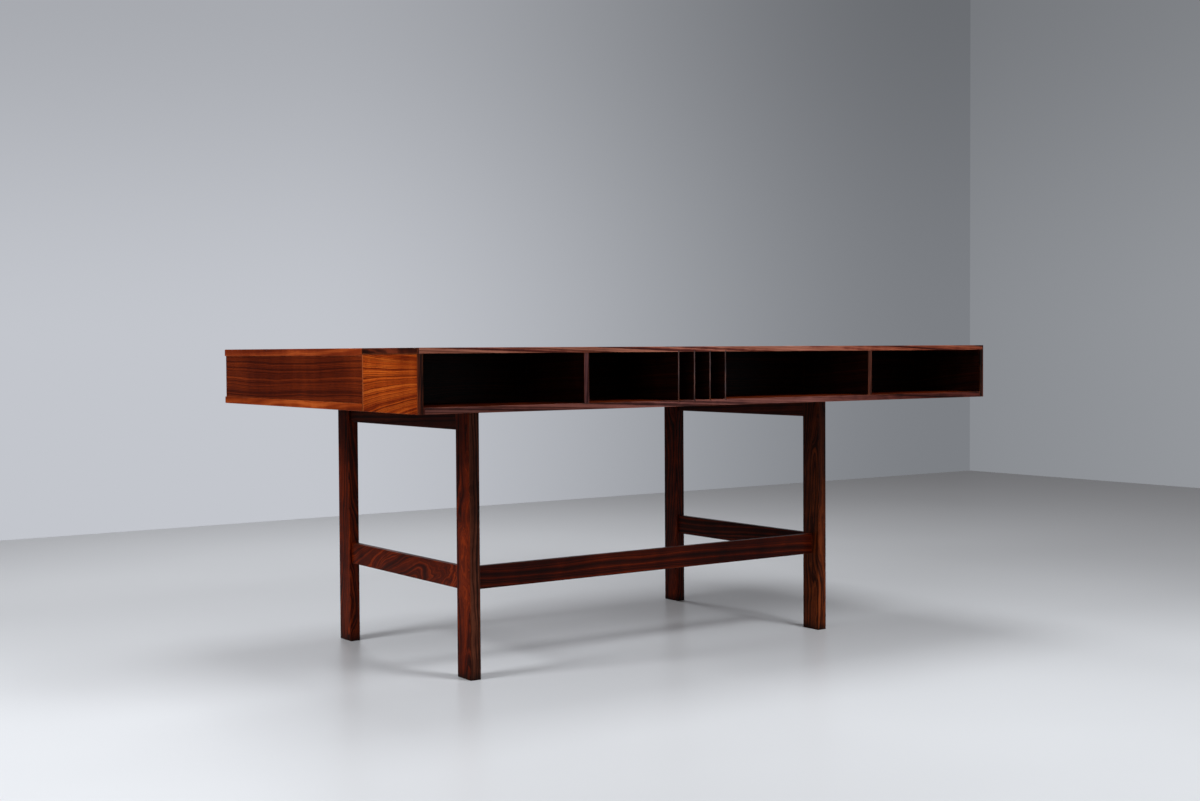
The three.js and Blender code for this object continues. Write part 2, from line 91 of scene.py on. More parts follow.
# Hinge screws. The profile gives the radius and height of each ring, from the flat top down, and the
# turns are the degrees by which a slot turns with the hinge, the place in the row and the leaf.
SCREW_HEAD_RADIUS = 3.05 * MM
SCREW_CORE_RADIUS = 1.5 * MM
SCREW_HEAD_DEPTH = 2.2 * MM
SCREW_PROFILE = [(SCREW_HEAD_RADIUS * 0.96, 0.0), (SCREW_HEAD_RADIUS, -0.12 * MM),
                 (SCREW_HEAD_RADIUS * 0.985, -0.3 * MM), (SCREW_CORE_RADIUS, -SCREW_HEAD_DEPTH)]
SCREW_TURNS = (37, 71, 23)
SCREW_SUNK = 0.12 * MM
SCREW_PITCH = 14 * MM
SCREW_FROM_SEAM = 19 * MM
SCREW_SLOT_WIDTH = 0.8 * MM
SCREW_SLOT_DEPTH = 0.9 * MM
SCREW_SIDES = 40

# Keeps a ridge of no width from a division by zero
LEAST_RIDGE = 0.0005


def srgb(red, green, blue):
    """A display colour from 0 to 255 as the linear colour that a shader takes."""
    levels = [value / 255 for value in (red, green, blue)]
    return (*[v / 12.92 if v <= 0.04045 else ((v + 0.055) / 1.055) ** 2.4 for v in levels], 1.0)


class Tree:
    """A node tree that is filled step by step. Every method returns an output socket."""

    def __init__(self, tree):
        self.tree = tree

    def feed(self, socket, value):
        if isinstance(value, bpy.types.NodeSocket):
            self.tree.links.new(value, socket)
        else:
            socket.default_value = value

    def add(self, kind, inputs=(), **settings):
        node = self.tree.nodes.new(kind)
        for name, value in settings.items():
            setattr(node, name, value)
        for key, value in dict(inputs).items():
            self.feed(node.inputs[key], value)
        return node

    def math(self, operation, first, second=0.0, third=0.0, clamp=False):
        node = self.add("ShaderNodeMath", operation=operation, use_clamp=clamp)
        for socket, value in zip(node.inputs, (first, second, third)):
            self.feed(socket, value)
        return node.outputs[0]

    def vector(self, operation, first, second=None, scale=None):
        node = self.add("ShaderNodeVectorMath", operation=operation)
        self.feed(node.inputs[0], first)
        if second is not None:
            self.feed(node.inputs[1], second)
        if scale is not None:
            self.feed(node.inputs["Scale"], scale)
        return node.outputs["Value" if operation in ("DOT_PRODUCT", "LENGTH") else "Vector"]

    def noise(self, vector, scale, detail=2.0, roughness=0.5, distortion=0.0):
        inputs = {"Vector": vector, "Scale": scale, "Detail": detail, "Roughness": roughness,
                  "Distortion": distortion}
        return self.add("ShaderNodeTexNoise", inputs).outputs

    def noise_along(self, value, scale, detail=2.0, roughness=0.5):
        inputs = {"W": value, "Scale": scale, "Detail": detail, "Roughness": roughness}
        return self.add("ShaderNodeTexNoise", inputs, noise_dimensions="1D").outputs[0]

    def span(self, value, low, high, out_low=0.0, out_high=1.0, smooth=False):
        kind = "SMOOTHSTEP" if smooth else "LINEAR"
        inputs = {"Value": value, "From Min": low, "From Max": high, "To Min": out_low, "To Max": out_high}
        return self.add("ShaderNodeMapRange", inputs, interpolation_type=kind, clamp=True).outputs[0]

    def ridge(self, value, width):
        """1 where a value is 0.5, falling to 0 at a width to either side."""
        offset = self.math("ABSOLUTE", self.math("SUBTRACT", value, 0.5))
        share = self.math("DIVIDE", offset, self.math("ADD", width, LEAST_RIDGE))
        return self.math("SUBTRACT", 1.0, share, clamp=True)

    def ramp(self, value, stops):
        node = self.add("ShaderNodeValToRGB", {"Fac": value})
        ramp = node.color_ramp
        while len(ramp.elements) < len(stops):
            ramp.elements.new(0.5)
        for element, (position, colour) in zip(ramp.elements, stops):
            element.position = position
            element.color = colour
        return node.outputs["Color"]

    def mix(self, factor, first, second, blend="MIX"):
        node = self.add("ShaderNodeMix", data_type="RGBA", blend_type=blend)
        for socket, value in zip((node.inputs[0], node.inputs[6], node.inputs[7]), (factor, first, second)):
            self.feed(socket, value)
        return node.outputs[2]

    def mix_value(self, factor, first, second):
        node = self.add("ShaderNodeMix", data_type="FLOAT")
        for socket, value in zip(list(node.inputs)[0:1] + list(node.inputs)[2:4], (factor, first, second)):
            self.feed(socket, value)
        return node.outputs[0]

    def mix_vector(self, factor, first, second):
        node = self.add("ShaderNodeMix", data_type="VECTOR")
        for socket, value in zip((node.inputs[0], node.inputs[4], node.inputs[5]), (factor, first, second)):
            self.feed(socket, value)
        return node.outputs[1]

    def split(self, vector):
        return self.add("ShaderNodeSeparateXYZ", {"Vector": vector}).outputs

    def join(self, x, y, z):
        return self.add("ShaderNodeCombineXYZ", {"X": x, "Y": y, "Z": z}).outputs[0]

    def place(self):
        return self.add("ShaderNodeTexCoord").outputs["Object"]

    def principled(self, inputs):
        shader = self.add("ShaderNodeBsdfPrincipled", inputs)
        self.add("ShaderNodeOutputMaterial", {"Surface": shader.outputs[0]})
        return shader


def new_material(name):
    material = bpy.data.materials.new(name)
    material.use_nodes = True
    material.node_tree.nodes.clear()
    return material, Tree(material.node_tree)


def new_group(name, inputs, outputs):
    """A shader node group with its inner input and output nodes."""
    tree = bpy.data.node_groups.new(name, "ShaderNodeTree")
    for socket_name, kind in inputs:
        tree.interface.new_socket(socket_name, in_out="INPUT", socket_type=kind)
    for socket_name in outputs:
        tree.interface.new_socket(socket_name, in_out="OUTPUT", socket_type="NodeSocketFloat")
    steps = Tree(tree)
    return tree, steps, steps.add("NodeGroupInput").outputs, steps.add("NodeGroupOutput").inputs


# Timber, as a solid cut from a log. Its heart runs along X of the coordinates that come in, in metres.

# How the growth wanders, from slow to quick: a noise's scale along and across the log, its detail, and
# how far it carries the growth
WANDER = [
    ((1.1, 4.5, 4.5), 1.5, 0.07),
    ((5.5, 21.0, 21.0), 2.0, 0.014),
    ((19.0, 85.0, 85.0), 2.0, 0.0022),
]
# Growth by its distance from the heart: where in a noise each layer starts, its scale, detail, roughness
GROWTH = {
    "Broad": (0.0, 24.0, 1.0, 0.5),
    "Bands": (1.3, 120.0, 2.0, 0.55),
    "Streaks": (5.9, 1100.0, 2.0, 0.7),
    "Lines": (3.7, 150.0, 1.0, 0.5),
    "Ink": (9.1, 58.0, 1.5, 0.5),
}
# Scales along and across the log
PRESENCE_SCALE = (2.6, 24.0, 24.0)
FIBRE_SCALE = (9.0, 900.0, 900.0)
PORE_SCALE = (75.0, 1500.0, 1500.0)
FLAME_SCALE = (26.0, 9.0, 9.0)


def make_figure_group():
    """Growth bands, dark lines, fibres and pores of a log, from coordinates in metres about its heart."""
    tree, t, given, out = new_group(
        "log_figure",
        [("Log", "NodeSocketVector"), ("Swirl", "NodeSocketFloat"), ("Fineness", "NodeSocketFloat")],
        ["Broad", "Bands", "Streaks", "Lines", "Ink", "Fibre", "Pores", "Flame"],
    )
    log, swirl, fineness = given["Log"], given["Swirl"], given["Fineness"]

    bend = (0.0, 0.0, 0.0)
    for scale, detail, reach in WANDER:
        drift = t.noise(t.vector("MULTIPLY", log, scale), 1.0, detail=detail)[1]
        drift = t.vector("SUBTRACT", drift, (0.5, 0.5, 0.5))
        bend = t.vector("ADD", bend, t.vector("SCALE", drift, scale=reach))
    warped = t.vector("ADD", log, t.vector("SCALE", bend, scale=swirl))
    _, across, depth = t.split(warped)
    square = t.math("ADD", t.math("MULTIPLY", across, across), t.math("MULTIPLY", depth, depth))
    radius = t.math("MULTIPLY", t.math("SQRT", square), fineness)

    layers = {}
    for name, (start, scale, detail, roughness) in GROWTH.items():
        layers[name] = t.noise_along(t.math("ADD", radius, start), scale, detail, roughness)
    presence = t.noise(t.vector("MULTIPLY", log, PRESENCE_SCALE), 1.0, detail=2.0)[0]
    layers["Lines"] = t.ridge(layers["Lines"], t.span(presence, 0.30, 0.65, 0.02, 0.075))
    layers["Ink"] = t.ridge(layers["Ink"], t.span(presence, 0.46, 0.70, 0.0, 0.040))
    layers["Fibre"] = t.noise(t.vector("MULTIPLY", log, FIBRE_SCALE), 1.0, detail=3.0, roughness=0.6)[0]
    dashes = t.noise(t.vector("MULTIPLY", log, PORE_SCALE), 1.0, detail=1.0)[0]
    layers["Pores"] = t.span(dashes, 0.63, 0.72)
    layers["Flame"] = t.noise(t.vector("MULTIPLY", warped, FLAME_SCALE), 1.0, detail=2.0)[0]
    for name, value in layers.items():
        t.feed(out[name], value)
    return tree


def make_arris_group():
    """How near a point lies to an edge of a square piece: 1 on the edge and 0 at the given width."""
    tree, t, given, out = new_group(
        "arris",
        [("Place", "NodeSocketVector"), ("Centre", "NodeSocketVector"), ("Half", "NodeSocketVector"),
         ("Width", "NodeSocketFloat")],
        ["Arris"],
    )
    offset = t.vector("ABSOLUTE", t.vector("SUBTRACT", given["Place"], given["Centre"]))
    depth = t.split(t.vector("SUBTRACT", given["Half"], offset))
    near = [t.span(value, 0.0, given["Width"], 1.0, 0.0) for value in depth]
    pairs = [t.math("MULTIPLY", near[a], near[b]) for a, b in ((0, 1), (1, 2), (0, 2))]
    t.feed(out["Arris"], t.math("MAXIMUM", t.math("MAXIMUM", pairs[0], pairs[1]), pairs[2], clamp=True))
    return tree


FIGURE = make_figure_group()
ARRIS = make_arris_group()
AXES = {"X": Vector((1, 0, 0)), "Y": Vector((0, 1, 0)), "Z": Vector((0, 0, 1))}


def log_space(t, place, along, heart, lean=(0.0, 0.0), shift=0.0):
    """Coordinates about a log whose heart passes the point heart and runs along one axis, a little off
    true by lean. The shift moves along the log to another stretch of it."""
    run = AXES[along]
    side, up = [axis for name, axis in AXES.items() if name != along]
    direction = (run + side * lean[0] + up * lean[1]).normalized()
    start = Vector(heart) - direction * shift
    turn = direction.to_track_quat("X", "Z").to_euler()
    inputs = {"Vector": place, "Location": start, "Rotation": turn}
    return t.add("ShaderNodeMapping", inputs, vector_type="TEXTURE").outputs[0]


def book_matched(t, place, start, width):
    """Mirrors every second leaf of a veneer laid side by side along Y. Each leaf lies a step deeper."""
    x, y, z = t.split(place)
    run = t.math("SUBTRACT", y, start)
    folded = t.math("PINGPONG", run, width)
    leaf = t.math("FLOOR", t.math("DIVIDE", run, width))
    return t.join(x, folded, t.math("MULTIPLY_ADD", leaf, LEAF_STEP, z))


def beyond(t, value, centre, half, margin):
    """1 where a coordinate lies within a margin of either end of a piece, else 0."""
    offset = t.math("ABSOLUTE", t.math("SUBTRACT", value, centre))
    return t.math("GREATER_THAN", offset, half - margin)


# Colours of the timbers, from dark to light
TONES = {
    "bright": [(0.10, (104, 31, 4)), (0.34, (150, 55, 8)),
               (0.54, (186, 78, 15)), (0.84, (218, 112, 36))],
    "pale_lip": [(0.10, (136, 58, 22)), (0.40, (168, 82, 36)),
                 (0.60, (188, 100, 50)), (0.85, (208, 124, 72))],
    "edge": [(0.10, (86, 28, 10)), (0.38, (122, 43, 15)),
             (0.58, (146, 57, 21)), (0.85, (186, 88, 38))],
    # Paler, greyer pink for the box top's long lippings: part timber, part painted highlight
    "rear_edge": [(0.12, (82, 38, 33)), (0.36, (128, 63, 53)),
                  (0.56, (156, 86, 71)), (0.82, (200, 134, 112))],
    "warm_edge": [(0.12, (70, 27, 18)), (0.36, (111, 46, 32)),
                  (0.56, (136, 63, 43)), (0.82, (178, 100, 72))],
    "mauve_edge": [(0.12, (62, 36, 34)), (0.38, (96, 56, 53)),
                   (0.58, (124, 76, 71)), (0.84, (164, 108, 100))],
    "wine_edge": [(0.12, (42, 18, 15)), (0.38, (66, 28, 23)),
                  (0.58, (85, 39, 33)), (0.84, (116, 58, 49))],
    # Painted shade: darker tones for the rear face of the box ends' lippings
    "rear_shade": [(0.10, (56, 25, 15)), (0.40, (86, 40, 24)),
              (0.60, (108, 52, 32)), (0.88, (142, 74, 48))],
    "amber_edge": [(0.10, (104, 35, 9)), (0.38, (144, 55, 13)),
                   (0.58, (172, 73, 21)), (0.85, (208, 104, 42))],
    "dark_edge": [(0.10, (30, 11, 6)), (0.40, (52, 20, 11)),
                  (0.60, (74, 30, 17)), (0.88, (112, 48, 27))],
    "deep": [(0.12, (64, 19, 6)), (0.38, (94, 31, 8)),
             (0.60, (116, 42, 11)), (0.86, (148, 61, 19))],
    "plum": [(0.12, (58, 34, 37)), (0.40, (86, 53, 56)),
             (0.60, (108, 69, 73)), (0.86, (136, 93, 97))],
    "russet": [(0.12, (46, 23, 17)), (0.40, (69, 36, 27)),
               (0.60, (88, 48, 37)), (0.86, (112, 66, 52))],
    "grey_edge": [(0.12, (44, 38, 40)), (0.40, (65, 58, 60)),
                  (0.60, (82, 74, 77)), (0.86, (102, 93, 96))],
    "frame": [(0.10, (30, 8, 3)), (0.34, (62, 16, 4)),
              (0.56, (90, 26, 5)), (0.84, (144, 51, 11))],
    "brown_frame": [(0.10, (30, 11, 5)), (0.34, (60, 23, 8)),
                    (0.56, (88, 36, 13)), (0.84, (142, 66, 28))],
    # Paler, greyer tones for a leg's rear face: part timber, part painted sheen
    "sheened_frame": [(0.10, (42, 21, 14)), (0.34, (74, 38, 25)),
                    (0.56, (102, 54, 37)), (0.84, (150, 88, 62))],
    # Painted shade: darker tones for the top rails under the case
    "rail_shade": [(0.12, (36, 13, 7)), (0.40, (58, 21, 10)),
             (0.60, (78, 29, 13)), (0.86, (112, 45, 21))],
    # Darker tones, part timber and part painted shade, for faces that lie in shade: inside the
    # compartments, at the backs and on the box ends' inner faces
    "shade": [(0.12, (24, 11, 8)), (0.40, (38, 16, 10)),
              (0.60, (50, 21, 12)), (0.86, (72, 32, 18))],
    "maple": [(0.15, (150, 104, 62)), (0.40, (180, 134, 86)),
              (0.60, (198, 152, 102)), (0.85, (214, 172, 122))],
}
INK_COLOUR = srgb(22, 10, 7)
PORE_COLOUR = srgb(26, 11, 7)
# Colour of painted shade, laid at the feet of the legs and under the box top's overhang
PAINTED_SHADE_COLOUR = srgb(20, 11, 8)
RUBBED_ROSEWOOD = srgb(172, 92, 52)
RUBBED_MAPLE = srgb(218, 184, 138)
LINE_TINT = srgb(150, 120, 110)
PATINA_TINT = srgb(196, 180, 172)
GLUE_DARK = srgb(20, 9, 6)
GLUE_LIGHT = srgb(44, 19, 11)
BRASS_COLOUR = srgb(203, 164, 92)
TARNISH_COLOUR = srgb(122, 88, 46)
RUBBER_COLOUR = srgb(38, 30, 26)
WORN_RUBBER = srgb(62, 52, 46)

# How far each layer of the figure moves a timber's tone
TONE_WEIGHTS = {"Broad": 0.75, "Bands": 0.85, "Streaks": 0.60, "Fibre": 0.35, "Flame": 0.30}

# How each cut of timber looks. contrast, lines and ink set how strongly the growth bands, thin dark
# lines and black lines show, swirl how far they wander, and fineness how close they lie.
CUTS = {
    "panel": dict(contrast=1.7, lines=1.0, ink=0.0, swirl=0.6, fineness=3.6),
    "quiet": dict(contrast=1.5, lines=0.90, ink=0.0, swirl=0.55, fineness=3.3),
    "leg": dict(contrast=1.4, lines=0.85, ink=0.30, swirl=2.2, fineness=2.1),
    "rail": dict(contrast=1.25, lines=0.85, ink=0.20, swirl=0.7, fineness=1.7),
    "wild": dict(contrast=1.4, lines=0.80, ink=0.30, swirl=2.0, fineness=2.6),
    "top": dict(contrast=1.5, lines=0.75, ink=0.55, swirl=1.15, fineness=1.0),
    "plain": dict(contrast=1.0, lines=0.25, ink=0.0, swirl=0.5, fineness=1.0),
}
LIPPING_SWIRL = 0.12

# Where along X a board's long lippings change from one tone to the other, in metres. On the box top
# the paler tones towards +X are partly a painted highlight.
TONE_CHANGE_START = -0.15
TONE_CHANGE_END = -0.55


def tone_ramp(t, value, name):
    return t.ramp(value, [(position, srgb(*colour)) for position, colour in TONES[name]])


def timber_shader(t, place, log, piece, cut, tones, zones=(), lipping=0.0, lip_contrast=1.1,
                  painted_shade=0.0, gloss=0.38, pores=0.45, rubbed=RUBBED_ROSEWOOD, rub_strength=0.28):
    """A finished timber surface: colour, gloss and relief. Zones are (mask, tones) pairs, which lie over
    the main tones in that order. Lipping is the mask of the solid edges, which are of straighter timber.
    A further mask lays painted shade, darkening the colour at a leg's foot and under an overhanging board."""
    low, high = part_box(piece)
    style = CUTS[cut]
    figure = t.add("ShaderNodeGroup", node_tree=FIGURE)
    swirl = t.mix_value(lipping, style["swirl"], LIPPING_SWIRL)
    for name, value in (("Log", log), ("Swirl", swirl), ("Fineness", style["fineness"])):
        t.feed(figure.inputs[name], value)
    get = figure.outputs
    arris = t.add("ShaderNodeGroup", node_tree=ARRIS)
    inputs = {"Place": place, "Centre": (low + high) / 2, "Half": (high - low) / 2, "Width": ARRIS_WIDTH}
    for name, value in inputs.items():
        t.feed(arris.inputs[name], value)

    tone = 0.5
    for name, weight in TONE_WEIGHTS.items():
        swing = t.math("SUBTRACT", get[name], 0.5)
        tone = t.math("MULTIPLY_ADD", swing, weight * style["contrast"], tone)
    stretched = t.math("MULTIPLY_ADD", tone, lip_contrast, 0.5 - 0.5 * lip_contrast)
    tone = t.mix_value(lipping, tone, stretched)
    colour = tone_ramp(t, tone, tones)
    for mask, zone_tones in zones:
        colour = t.mix(mask, colour, tone_ramp(t, tone, zone_tones))
    darker = t.mix(1.0, colour, LINE_TINT, "MULTIPLY")
    colour = t.mix(t.math("MULTIPLY", get["Lines"], style["lines"]), colour, darker)
    colour = t.mix(t.math("MULTIPLY", get["Ink"], style["ink"]), colour, INK_COLOUR)
    colour = t.mix(t.math("MULTIPLY", get["Pores"], pores), colour, PORE_COLOUR)
    # Painted shade: the colour darkened where that mask lies
    colour = t.mix(painted_shade, colour, PAINTED_SHADE_COLOUR)

    patina = t.noise(place, 3.2, detail=2.0)[0]
    shaded = t.mix(1.0, colour, PATINA_TINT, "MULTIPLY")
    colour = t.mix(t.span(patina, 0.36, 0.66), shaded, colour)
    worn = t.span(t.noise(place, 26.0, detail=3.0)[0], 0.38, 0.66)
    rub = t.math("MULTIPLY", arris.outputs[0], worn)
    colour = t.mix(t.math("MULTIPLY", rub, rub_strength), colour, rubbed)

    rough = t.math("MULTIPLY_ADD", get["Pores"], 0.18, gloss)
    rough = t.math("MULTIPLY_ADD", t.math("SUBTRACT", get["Fibre"], 0.5), 0.10, rough)
    rough = t.math("MULTIPLY_ADD", t.math("SUBTRACT", patina, 0.5), 0.12, rough)
    rough = t.math("MULTIPLY_ADD", rub, -0.06, rough)

    relief = t.math("MULTIPLY", get["Pores"], -1.0)
    relief = t.math("MULTIPLY_ADD", get["Fibre"], 0.30, relief)
    relief = t.math("MULTIPLY_ADD", get["Lines"], 0.12, relief)
    bump = t.add("ShaderNodeBump", {"Height": relief, "Strength": 0.5, "Distance": GRAIN_RELIEF})
    t.principled({"Base Color": colour, "Roughness": rough, "Normal": bump.outputs[0],
                  "Specular IOR Level": 0.12, "IOR": 1.5})


def board_material(name, tones, end_tones, long_tones, left_tones, leaf_start, leaf_width, shift,
                   lip_contrast):
    """A veneered board, grain along X in book-matched leaves, with solid lippings on its four edges. The
    long lippings change tone along their length, towards left_tones at the left."""
    material, t = new_material(name + "_wood")
    place = t.place()
    low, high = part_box(name)
    centre, half = (low + high) / 2, (high - low) / 2
    folded = book_matched(t, place, leaf_start, leaf_width)
    heart = (0.0, leaf_width * 0.35, centre.z - 0.055)
    log = log_space(t, folded, "X", heart, lean=(0.012, 0.034), shift=shift)
    x, y, _ = t.split(place)
    long_lip = beyond(t, y, centre.y, half.y, LIPPING)
    end_lip = beyond(t, x, centre.x, half.x, LIPPING)
    long_heart = (0, high.y - 0.02, centre.z - 0.05)
    end_heart = (centre.x, 0, centre.z - 0.05)
    long_log = log_space(t, place, "X", long_heart, lean=(0.03, 0.035), shift=shift + 4)
    end_log = log_space(t, place, "Y", end_heart, lean=(0.0, 0.008), shift=shift + 7)
    log = t.mix_vector(end_lip, t.mix_vector(long_lip, log, long_log), end_log)
    lipping = t.math("MAXIMUM", long_lip, end_lip)
    # On the box top the paler long-lipping tones towards +X are partly a painted highlight
    left_part = t.math("MULTIPLY", long_lip, t.span(x, TONE_CHANGE_START, TONE_CHANGE_END, smooth=True))
    zones = [(long_lip, long_tones), (left_part, left_tones), (end_lip, end_tones)]
    timber_shader(t, place, log, name, "top", tones, zones, lipping, lip_contrast)
    return material


def panel_material(name, cut, tones, lip_tones, shift, lean=(0.02, 0.05), heart=(-0.03, -0.09),
                   fan=0.0, lip_sides=True, rear_tones=None, inner_tones=None, joint_shadow=0.0):
    """A veneered panel across the desk, grain along Y, from a log whose heart lies at an offset in X and Z
    from its middle. A fan changes the spacing of the grain lines along the panel. Upright lippings close
    the panel's two short edges, and show on its sides too unless lip_sides is off. Its rear edge and the
    face towards the middle of the desk can take darker tones of their own, painted shade, and its top a
    painted shadow along the joint under the board above."""
    material, t = new_material(name + "_wood")
    place = t.place()
    low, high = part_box(name)
    centre, half = (low + high) / 2, (high - low) / 2
    x, y, z = t.split(place)
    fan_height = centre.z + FAN_RISE
    spread = t.math("MULTIPLY_ADD", t.math("SUBTRACT", y, centre.y), fan / half.y, 1.0)
    fanned = t.math("MULTIPLY_ADD", t.math("SUBTRACT", z, fan_height), spread, fan_height)
    middle = centre + Vector((heart[0], 0, heart[1]))
    lip_heart = (centre.x + 0.04, centre.y - 0.06, 0)
    face_log = log_space(t, t.join(x, y, fanned), "Y", middle, lean=lean, shift=shift)
    lip_log = log_space(t, place, "Z", lip_heart, lean=(0.01, 0.02), shift=shift + 5)
    lip = beyond(t, y, centre.y, half.y, LIPPING if lip_sides else REAR_FACE_DEPTH)
    zones = [(lip, lip_tones)]
    # On the box ends the rear face's darker tones are painted shade
    if rear_tones:
        zones.append((t.math("GREATER_THAN", y, high.y - REAR_FACE_DEPTH), rear_tones))
    if inner_tones:
        # The face towards the middle in darker tones: part timber, part painted shade
        outward = math.copysign(1.0, centre.x)
        zones.append((t.math("LESS_THAN", t.math("MULTIPLY", x, outward), abs(centre.x)), inner_tones))
    # Painted shadow: the top of the panel darkened just under the board above it
    painted_shade = t.span(z, high.z - JOINT_SHADOW_HEIGHT, high.z - JOINT_SHADOW_HEIGHT / 4, 0.0, joint_shadow, smooth=True)
    log = t.mix_vector(lip, face_log, lip_log)
    timber_shader(t, place, log, name, cut, tones, zones, lip, painted_shade=painted_shade)
    return material


def solid_material(name, cut, tones, along, heart, lean=(0.02, 0.03), shift=0.0, **finish):
    """A piece cut from solid timber with its grain along one axis, from a log with its heart at a point."""
    material, t = new_material(name + "_wood")
    place = t.place()
    log = log_space(t, place, along, heart, lean=lean, shift=shift)
    timber_shader(t, place, log, name, cut, tones, **finish)
    return material


def leg_material(name, tones, rear_tones, lean, shift):
    """An upright leg with a rear face in tones of its own, and painted shade darkening its foot by the
    floor.
    """
    material, t = new_material(name + "_wood")
    place = t.place()
    log = log_space(t, place, "Z", beside(name, 0.035, 0.03, 0), lean=lean, shift=shift)
    _, y, z = t.split(place)
    # Painted shade: the foot darkened towards the floor, with an uneven top edge
    uneven = t.math("MULTIPLY_ADD", t.noise(place, 60.0)[0], FOOT_SHADE_HEIGHT, z)
    painted_shade = t.span(uneven, FOOT_SHADE_HEIGHT / 2, 2 * FOOT_SHADE_HEIGHT, 0.8, 0.0, smooth=True)
    rear = t.math("GREATER_THAN", y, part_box(name)[1].y - REAR_FACE_DEPTH)
    zones = [(rear, rear_tones)]
    timber_shader(t, place, log, name, "leg", tones, zones, painted_shade=painted_shade, rub_strength=0.12)
    return material


def beside(name, *offset):
    """A point at an offset from a node's middle."""
    low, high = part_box(name)
    return (low + high) / 2 + Vector(offset)


# Brass and rubber


def brass_material():
    material, t = new_material("aged_brass")
    place = t.place()
    smudge = t.noise(place, 60.0, detail=4.0, roughness=0.6)[0]
    brushed = t.noise(t.vector("MULTIPLY", place, (60, 4000, 4000)), 1.0, detail=2.0)[0]
    tarnish = t.span(smudge, 0.42, 0.72, 0.0, 0.75)
    colour = t.mix(tarnish, BRASS_COLOUR, TARNISH_COLOUR)
    rough = t.math("MULTIPLY_ADD", smudge, 0.25, 0.26)
    rough = t.math("MULTIPLY_ADD", brushed, 0.10, rough)
    bump = t.add("ShaderNodeBump", {"Height": brushed, "Strength": 0.4, "Distance": 0.02 * MM})
    finish = {"Base Color": colour, "Roughness": rough, "Metallic": 1.0, "Normal": bump.outputs[0]}
    t.principled(finish)
    return material


def rubber_material():
    material, t = new_material("dark_rubber")
    place = t.place()
    grain = t.noise(place, 900.0, detail=3.0)[0]
    worn = t.noise(place, 120.0, detail=3.0)[0]
    colour = t.mix(t.span(worn, 0.4, 0.7), RUBBER_COLOUR, WORN_RUBBER)
    rough = t.math("MULTIPLY_ADD", grain, 0.2, 0.68)
    bump = t.add("ShaderNodeBump", {"Height": grain, "Strength": 0.5, "Distance": 0.05 * MM})
    t.principled({"Base Color": colour, "Roughness": rough, "Normal": bump.outputs[0]})
    return material


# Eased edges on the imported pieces


def make_tidy_normals():
    """Geometry nodes that drop stored normals and shade smooth across edges shallower than the sharp
    angle."""
    tree = bpy.data.node_groups.new("tidy_normals", "GeometryNodeTree")
    tree.interface.new_socket("Geometry", in_out="INPUT", socket_type="NodeSocketGeometry")
    tree.interface.new_socket("Geometry", in_out="OUTPUT", socket_type="NodeSocketGeometry")
    t = Tree(tree)
    source = t.add("NodeGroupInput").outputs[0]
    welded = t.add("GeometryNodeMergeByDistance", {"Geometry": source, "Distance": WELD_DISTANCE})
    stored = {"Geometry": welded.outputs[0], "Name": "custom_normal"}
    bare = t.add("GeometryNodeRemoveAttribute", stored)
    faces = t.add("GeometryNodeSetShadeSmooth", {"Geometry": bare.outputs[0], "Shade Smooth": True})
    angle = t.add("GeometryNodeInputMeshEdgeAngle").outputs["Unsigned Angle"]
    limits = {"A": angle, "B": SHARP_ANGLE}
    shallow = t.add("FunctionNodeCompare", limits, data_type="FLOAT", operation="LESS_THAN").outputs[0]
    smooth = {"Geometry": faces.outputs[0], "Shade Smooth": shallow}
    edges = t.add("GeometryNodeSetShadeSmooth", smooth, domain="EDGE")
    t.add("NodeGroupOutput", {0: edges.outputs[0]})
    return tree


TIDY_NORMALS = make_tidy_normals()


def ease(piece, width):
    """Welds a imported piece's facets and eases its sharp edges."""
    tidy = piece.modifiers.new("tidy_normals", "NODES")
    tidy.node_group = TIDY_NORMALS
    flat = piece.modifiers.new("flat_faces", "DECIMATE")
    flat.decimate_type = "DISSOLVE"
    flat.angle_limit = FLAT_ANGLE
    edge = piece.modifiers.new("eased_edges", "BEVEL")
    edge.width = width
    edge.segments = 2
    edge.limit_method = "ANGLE"
    edge.angle_limit = SHARP_ANGLE
    edge.harden_normals = True


def finish_node(name, material, edge_width):
    piece = NODES[name]
    piece.data.materials.clear()
    piece.data.materials.append(material)
    ease(piece, edge_width)


def finish_frame():
    # The rear face of leg_rear_right is paler and greyer, part timber and part painted sheen
    legs = [("leg_rear_left", "brown_frame", "brown_frame", (0.05, 0.02)),
            ("leg_rear_right", "frame", "sheened_frame", (0.06, -0.03)),
            ("leg_front_left", "frame", "frame", (-0.04, 0.03)),
            ("leg_front_right", "frame", "frame", (0.03, 0.05))]
    for index, (name, tones, rear_tones, lean) in enumerate(legs):
        finish_node(name, leg_material(name, tones, rear_tones, lean, 3 + 2 * index), EASE_LEG)
    # The top rails, under the case, take tones of painted shade
    rails = {"end_stretcher_left": ("rail", "frame"), "end_stretcher_right": ("wild", "frame"),
             "top_rail_left": ("rail", "rail_shade"), "top_rail_right": ("rail", "rail_shade")}
    for index, (name, (cut, tones)) in enumerate(rails.items()):
        lean = (0.25, 0.4) if cut == "wild" else (0.01, 0.05)
        wood = solid_material(name, cut, tones, "Y", beside(name, 0.02, 0, -0.06), lean, 13 + 2 * index)
        finish_node(name, wood, EASE_RAIL)
    name = "long_stretcher"
    wood = solid_material(name, "rail", "frame", "X", beside(name, 0, 0.03, -0.08), (0.01, 0.02), 23)
    finish_node(name, wood, EASE_RAIL)


